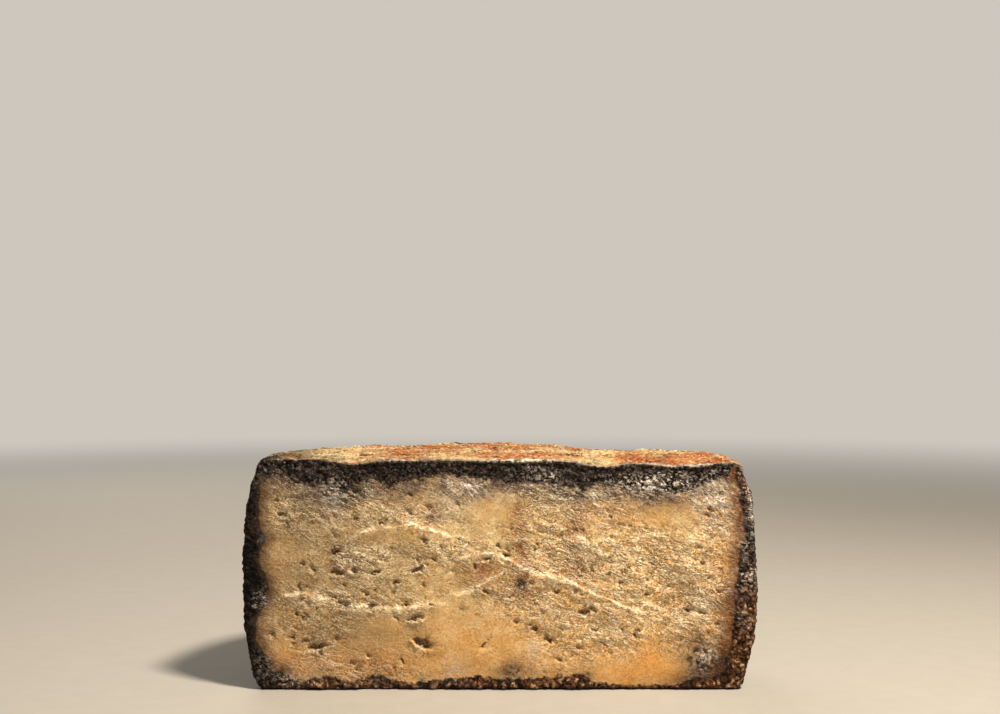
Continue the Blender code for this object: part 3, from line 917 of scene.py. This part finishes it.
def rind_group():
    """Colour of the rind: toasted browns on the side, rust and cream on the top, painted shade at the left of
    the cut, with painted shade in its creases and painted highlights on the crowns of its knobs.
    """
    inputs = {"Place": VECTOR, **dict.fromkeys(("Top", "Knob", "Warm", "Shade", "Dim"), NUMBER)}
    tree, given, made = new_group("rind_colour", inputs, {"Colour": COLOUR})
    place, knob = given["Place"], given["Knob"]
    side = blend(speckle(place, 38, 0.4, 0.62), (48, 30, 19), (84, 52, 30))
    side = layered(place, side, SIDE_LAYERS)
    behind = between(add("SeparateXYZ", {"Vector": place}, output="Y"), *GREYS_OVER, 0.0, 0.5)
    grey = blend(speckle(place, 60, 0.4, 0.62, 6.0), (104, 80, 56), (150, 128, 98))
    side = blend(times(behind, speckle(place, 140, 0.3, 0.6, 6.0)), side, grey)
    # Warm crust, with painted shade in the creases between its knobs
    warm = blend(between(knob, 0.15, 0.6), (22, 11, 5), (96, 58, 32))
    warm = layered(place, warm, CRUST_LAYERS)
    # Painted highlight on the crowns of the knobs
    tip_highlights = times(between(knob, 0.6, 1.0), speckle(place, 380, 0.46, 0.6))
    warm = blend(tip_highlights, warm, (214, 172, 132))
    side = blend(given["Warm"], side, warm)
    # Painted shade over the rind at the left of the cut
    side = blend(given["Shade"], side, SHADE_BLACK)
    top = blend(speckle(place, 45, 0.35, 0.65, 5.0), (152, 80, 32), (192, 132, 70))
    top = layered(place, top, TOP_LAYERS)
    specks = times(speckle(place, 460, 0.53, 0.62), speckle(place, 110, 0.4, 0.6, 5.0))
    top = blend(specks, top, (58, 32, 14))
    top = layered(place, top, TOP_BLOTCHES)
    # Painted shade in the creases of the top
    top = blend(between(knob, 0.5, 0.1, 0.0, 0.35), top, (98, 52, 22))
    ends = times(given["Dim"], speckle(place, 120, 0.3, 0.52, 5.0))
    top = blend(ends, top, (26, 15, 8))
    colour = blend(given["Top"], side, top)
    # Painted shade in the creases of the side
    gap_shadows = times(between(knob, 0.45, 0.08), between(given["Top"], 0, 1, 0.9, 0.15))
    colour = blend(gap_shadows, colour, SHADE_BLACK)
    tree.links.new(colour, made["Colour"])
    return tree


def mould_group():
    """Mould over another colour: dark patches, then a pale powder on their bumps."""
    inputs = {"Colour": COLOUR, "Place": VECTOR, "Dark": NUMBER, "Powder": NUMBER, "Height": NUMBER,
              "Powder Colour": COLOUR}
    tree, given, made = new_group("mould", inputs, {"Colour": COLOUR})
    place, height = given["Place"], given["Height"]
    strokes = leaning(place, GRAIN_TURN, GRAIN_STRETCH)
    dark = blend(speckle(place, 260, 0.42, 0.6), (4, 2, 1), (42, 27, 20))
    streaks = times(speckle(strokes, 1500, 0.57, 0.61, 1.0), 0.4)
    dark = blend(streaks, dark, (92, 68, 54))
    colour = blend(given["Dark"], given["Colour"], dark)
    crest = uneven(between(height, -0.6, 0.4, 0.35, 1.0), place, 100, 0.38, 0.58, 0.25, 1.0)
    flecks = times(speckle(strokes, 1300, 0.51, 0.54, 1.0), crest)
    beads = times(between(height, 0.1, 0.4), speckle(place, 420, 0.5, 0.6))
    dust = speckle(place, 190, 0.45, 0.75)
    powder = either([flecks, times(beads, 0.7), times(dust, 0.2)])
    powder = times(powder, given["Powder"])
    colour = blend(powder, colour, given["Powder Colour"])
    tree.links.new(colour, made["Colour"])
    return tree


def chip_group():
    """Relief of tiny chips: each cell is a plane with its own tilt. The height is in metres."""
    inputs = {"Place": VECTOR, "Scale": NUMBER, "Slope": NUMBER}
    tree, given, made = new_group("chips", inputs, {"Height": NUMBER})
    cells = {"Vector": given["Place"], "Scale": given["Scale"]}
    centre = add("TexVoronoi", cells, output="Position")
    tilt = centre.node.outputs["Color"]
    away = add("VectorMath", {0: given["Place"], 1: centre}, operation="SUBTRACT")
    tilt = add("VectorMath", {0: tilt, 1: (0.5, 0.5, 0.5)}, operation="SUBTRACT")
    height = add("VectorMath", {0: away, 1: tilt}, output="Value", operation="DOT_PRODUCT")
    tree.links.new(times(height, given["Slope"]), made["Height"])
    return tree


def flake_group():
    """Thin flakes, one over the other: each rises to a ragged lip, with a shaded gap over it. It also gives
    where a highlight is painted on each lip and a shadow in each gap.
    """
    inputs = {"Place": VECTOR, **dict.fromkeys(FLAKE_INPUTS, NUMBER)}
    tree, given, made = new_group("flakes", inputs, {"Height": NUMBER, "Lip": NUMBER, "Gap Shadow": NUMBER})
    place, density = given["Place"], calc("DIVIDE", 1.0, given["Spacing"])
    up = add("SeparateXYZ", {"Vector": place}, output="Z")
    wander = times(noise(place, times(density, 0.42), 5.0), given["Wander"])
    tooth = calc("FRACT", calc("ADD", times(up, density), wander))
    shown = noise(place, times(density, 0.6), 3.0)
    shown = between(calc("SUBTRACT", shown, given["Left Out"]), 0, 0.1)
    to_lip = calc("DIVIDE", calc("SUBTRACT", 1.0, tooth), given["Lip Share"])
    from_gap = calc("DIVIDE", tooth, given["Lip Share"])
    rise = calc("SUBTRACT", tooth, between(to_lip, 0.5, 0.0))
    tree.links.new(times(times(rise, shown), given["Rise"]), made["Height"])
    shown = times(shown, given["Seen"])
    lip = times(between(to_lip, 1.3, 0.7), between(to_lip, 0.0, 0.3))
    tree.links.new(times(lip, shown), made["Lip"])
    tree.links.new(times(between(from_gap, 1.1, 0.2), shown), made["Gap Shadow"])
    return tree


def all_flakes(place, torn):
    """The height of the flakes of all sizes together, and where a painted highlight on each lip and a painted
    shadow in each gap show in torn paste.
    """
    grainwise = leaning(place, GRAIN_TURN, GRAIN_STRETCH)
    group = flake_group()
    sizes = [{"Place": grainwise, **dict(zip(FLAKE_INPUTS, values))} for values in FLAKES.values()]
    flakes = [add("Group", inputs, node_tree=group).node.outputs for inputs in sizes]
    height = either([flake["Height"] for flake in flakes], "ADD")
    lip_highlights, gap_shadows = (times(either([flake[name] for flake in flakes]), torn) for name in ("Lip", "Gap Shadow"))
    return height, lip_highlights, gap_shadows


def crumbly_borders(place, masks):
    """Where the rind and the mould show, with crumbly borders. The mould ends where the top begins."""
    edge = times(calc("SUBTRACT", noise(place, 520), 0.5), 3.2)
    rind = between(calc("ADD", masks["rind"], edge), -1.3, 0.7)
    mould = between(calc("ADD", masks["mould"], times(edge, 2.2)), -1.2, 1.2)
    over = between(calc("ADD", masks["top"], times(edge, 0.5)), 0.35, 0.65)
    return rind, times(mould, calc("SUBTRACT", 1.0, over))


def paste_colour(place, masks, lip_highlights, gap_shadows):
    """The paste's colour: greyer on the left, partly painted shade, brown beside the rind with painted shade
    at its left end, and smoky under the mould, partly painted shadow of the top lip.
    """
    along = add("SeparateXYZ", {"Vector": place}, output="X")
    beside = between(calc("ABSOLUTE", along), *MARGIN_OVER, 0.3, 1.0)
    inputs = {"Place": place, "Lip Highlights": lip_highlights, "Gap Shadows": gap_shadows, "Left": between(along, *LEFT_GREY_AND_SHADE, 0.9, 0.0),
              "Margin": times(between(masks["rind"], *MARGIN_DEPTH), beside),
              "Smoke And Shadow": between(masks["mould"], *SMOKE_AND_SHADOW_DEPTH),
              "Shade": between(along, *MARGIN_SHADE_AT_LEFT, 0.0, 0.9)}
    inputs |= {name.title(): masks[name] for name in ("gold", "stain", "height", "torn", "crest", "scraped")}
    return add("Group", inputs, node_tree=paste_group())


def rind_colour(place, masks):
    """The rind's colour: warm where the cut shows its crust low down, and dark at the left, painted shade."""
    along = add("SeparateXYZ", {"Vector": place}, output="X")
    up = along.node.outputs["Z"]
    on_cut = times(masks["cut"], calc("SUBTRACT", 1.0, masks["top"]))
    low = between(up, *WARM_BASE, 0.0, 0.8)
    low_right = times(between(up, *WARM_RIGHT_UNDER), between(along, *WARM_RIGHT_OVER, 0.0, 0.75))
    inputs = {"Place": place, "Top": masks["top"], "Knob": masks["knob"],
              "Warm": times(on_cut, calc("MAXIMUM", low, low_right)),
              "Shade": times(on_cut, between(along, *RIND_SHADE_AT_LEFT, 0.0, 0.85)),
              "Dim": between(along, *TOP_DIMS)}
    return add("Group", inputs, node_tree=rind_group())


def surface_colour(place, masks, paste, crust, rind, mould):
    """Paste and rind with their own mould, then the band of mould and the painted highlight along the lip
    over both.
    """
    mouldy = mould_group()
    knob = between(masks["knob"], 0.25, 0.8, -0.6, 0.4)
    shaded = between(masks["knob"], 0.15, 0.7, 0.95, 0.7)
    inputs = {"Colour": paste, "Place": place, "Dark": times(masks["gloom"], shaded),
              "Powder": masks["bloom"], "Height": calc("MAXIMUM", masks["height"], knob),
              "Powder Colour": tint(POWDERS["paste"])}
    paste = add("Group", inputs, node_tree=mouldy)
    inputs = {"Colour": crust, "Place": place, "Dark": 0.0, "Powder": masks["bloom"], "Height": knob,
              "Powder Colour": tint(POWDERS["rind"])}
    crust = add("Group", inputs, node_tree=mouldy)
    powder = times(mould, between(masks["bloom"], 0, 1, 0.08, 1.0))
    inputs = {"Colour": blend(rind, paste, crust), "Place": place, "Dark": mould, "Powder": powder,
              "Height": knob, "Powder Colour": tint(POWDERS["mould"])}
    colour = add("Group", inputs, node_tree=mouldy)
    # Painted highlight along the lip
    lip = times(masks["lip"], between(noise(place, 420), 0.4, 0.58))
    return blend(lip, colour, (222, 208, 184))


def surface_relief(place, torn, dry, flakes):
    """The finest relief: the flakes, and chips that are steepest where the surface is torn or dry."""
    slope = calc("MAXIMUM", between(torn, 0, 1, 0.35, 1.0), times(dry, 1.5))
    inputs = {"Place": place, "Scale": 1500.0, "Slope": slope}
    crumbs = add("Group", inputs, node_tree=chip_group())
    flaky = times(flakes, calc("MAXIMUM", torn, dry))
    relief = calc("ADD", flaky, crumbs)
    return add("Bump", {"Height": relief, "Strength": 1.0, "Distance": 1.0}, output="Normal")


def surface_material():
    """The one surface of the cheese: paste, rind and mould, each where its mask says."""
    material, tree, shader = new_material("gamoneu_surface")
    place = add("TexCoord", {}, output="Object", tree=tree)
    masks = {name: add("Attribute", {}, output="Fac", tree=tree, attribute_name=name) for name in MASKS}
    rind, mould = crumbly_borders(place, masks)
    flakes, lip_highlights, gap_shadows = all_flakes(place, masks["torn"])
    paste = paste_colour(place, masks, lip_highlights, gap_shadows)
    crust = rind_colour(place, masks)
    colour = surface_colour(place, masks, paste, crust, rind, mould)
    tree.links.new(colour, shader.inputs["Base Color"])
    dry = calc("MAXIMUM", rind, mould)
    scatter = between(noise(place, 300), 0.3, 0.7, -0.08, 0.08)
    rough = calc("ADD", between(dry, 0, 1, PASTE_ROUGHNESS, RIND_ROUGHNESS), scatter)
    tree.links.new(rough, shader.inputs["Roughness"])
    tree.links.new(surface_relief(place, masks["torn"], dry, flakes), shader.inputs["Normal"])
    shader.inputs["Specular IOR Level"].default_value = 0.2
    shader.inputs["Subsurface Weight"].default_value = 0.06
    shader.inputs["Subsurface Radius"].default_value = (1.0, 0.55, 0.25)
    shader.inputs["Subsurface Scale"].default_value = MM
    return material


def cheese():
    """The half wheel, in the solid's place."""
    piece = carving_blank(half_wheel())
    carve(piece)
    piece = thin_out(piece)
    settle_in_box(piece)
    lay_flat(piece)
    piece.data.shade_smooth()
    piece.data.materials.append(surface_material())
    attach(piece, "root")
    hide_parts("cheese")
    return piece


# The photograph's view: a level camera in front of the cut face
CAMERA_DISTANCE = 573 * MM
CAMERA_HEIGHT = 142.8 * MM
CAMERA_LENS = 48.1

# The soft lights: place, size, power and colour
LIGHTS = {
    "key_light": ((0.32, -0.38, 0.88), 0.13, 18.5, (1.0, 0.92, 0.8)),
    "fill_light": ((0.5, -1.1, 0.5), 0.9, 1.0, (1.0, 0.95, 0.88)),
    "back_light": ((-0.4, 0.9, 0.7), 0.7, 6, (1.0, 0.95, 0.88)),
}
LIGHTS_LOOK_AT = (0, 0, 0.05)
ROOM_LIGHT = 0.17

# The floor, and how far out it starts to fade and has become the backdrop
FLOOR_RADIUS = 5.0
FLOOR_FADE = (0.5, 1.9)


def camera():
    view = bpy.data.cameras.new("camera")
    view.lens = CAMERA_LENS
    view.clip_start = 0.01
    obj = bpy.data.objects.new("camera", view)
    obj.location = (0, cad_box[0].y + CUT_SETBACK - CAMERA_DISTANCE, CAMERA_HEIGHT)
    obj.rotation_euler = (math.radians(90), 0, 0)
    bpy.context.scene.collection.objects.link(obj)
    bpy.context.scene.camera = obj


def soft_light(name, place, size, power, colour):
    """A square soft light that looks at the cheese."""
    light = bpy.data.lights.new(name, "AREA")
    light.size = size
    light.energy = power
    light.color = colour
    obj = bpy.data.objects.new(name, light)
    obj.location = place
    obj.rotation_euler = (Vector(LIGHTS_LOOK_AT) - Vector(place)).to_track_quat("-Z", "Y").to_euler()
    bpy.context.scene.collection.objects.link(obj)


def lighting():
    """A lamp high in front and a little to the right, soft lights in front and behind, and a pale room."""
    for name, light in LIGHTS.items():
        soft_light(name, *light)
    world = bpy.data.worlds.new("room")
    world.use_nodes = True
    tree = world.node_tree
    background = tree.nodes["Background"]
    background.inputs["Color"].default_value = tint(BACKDROP)
    seen = add("LightPath", {}, output="Is Camera Ray", tree=tree)
    tree.links.new(between(seen, 0, 1, ROOM_LIGHT, 1), background.inputs["Strength"])
    bpy.context.scene.world = world
    bpy.context.scene.view_settings.view_transform = "Standard"


def floor():
    """A plain pale floor that runs out into the backdrop."""
    mesh = bpy.data.meshes.new("floor")
    disc = bmesh.new()
    bmesh.ops.create_circle(disc, cap_ends=True, segments=64, radius=FLOOR_RADIUS)
    disc.to_mesh(mesh)
    disc.free()
    obj = bpy.data.objects.new("floor", mesh)
    bpy.context.scene.collection.objects.link(obj)
    material, tree, shader = new_material("pale_floor")
    place = add("TexCoord", {}, output="Object", tree=tree)
    colour = blend(noise(place, 90), (160, 153, 142), (168, 161, 150))
    tree.links.new(colour, shader.inputs["Base Color"])
    shader.inputs["Roughness"].default_value = 0.8
    away = add("VectorMath", {0: place}, output="Value", operation="LENGTH")
    far = between(away, *FLOOR_FADE)
    glow = add("Emission", {"Color": tint(BACKDROP)}, tree=tree)
    both = add("MixShader", {0: far, 1: shader.outputs[0], 2: glow})
    tree.links.new(both, tree.nodes["Material Output"].inputs["Surface"])
    mesh.materials.append(material)


cheese()
floor()
camera()
lighting()
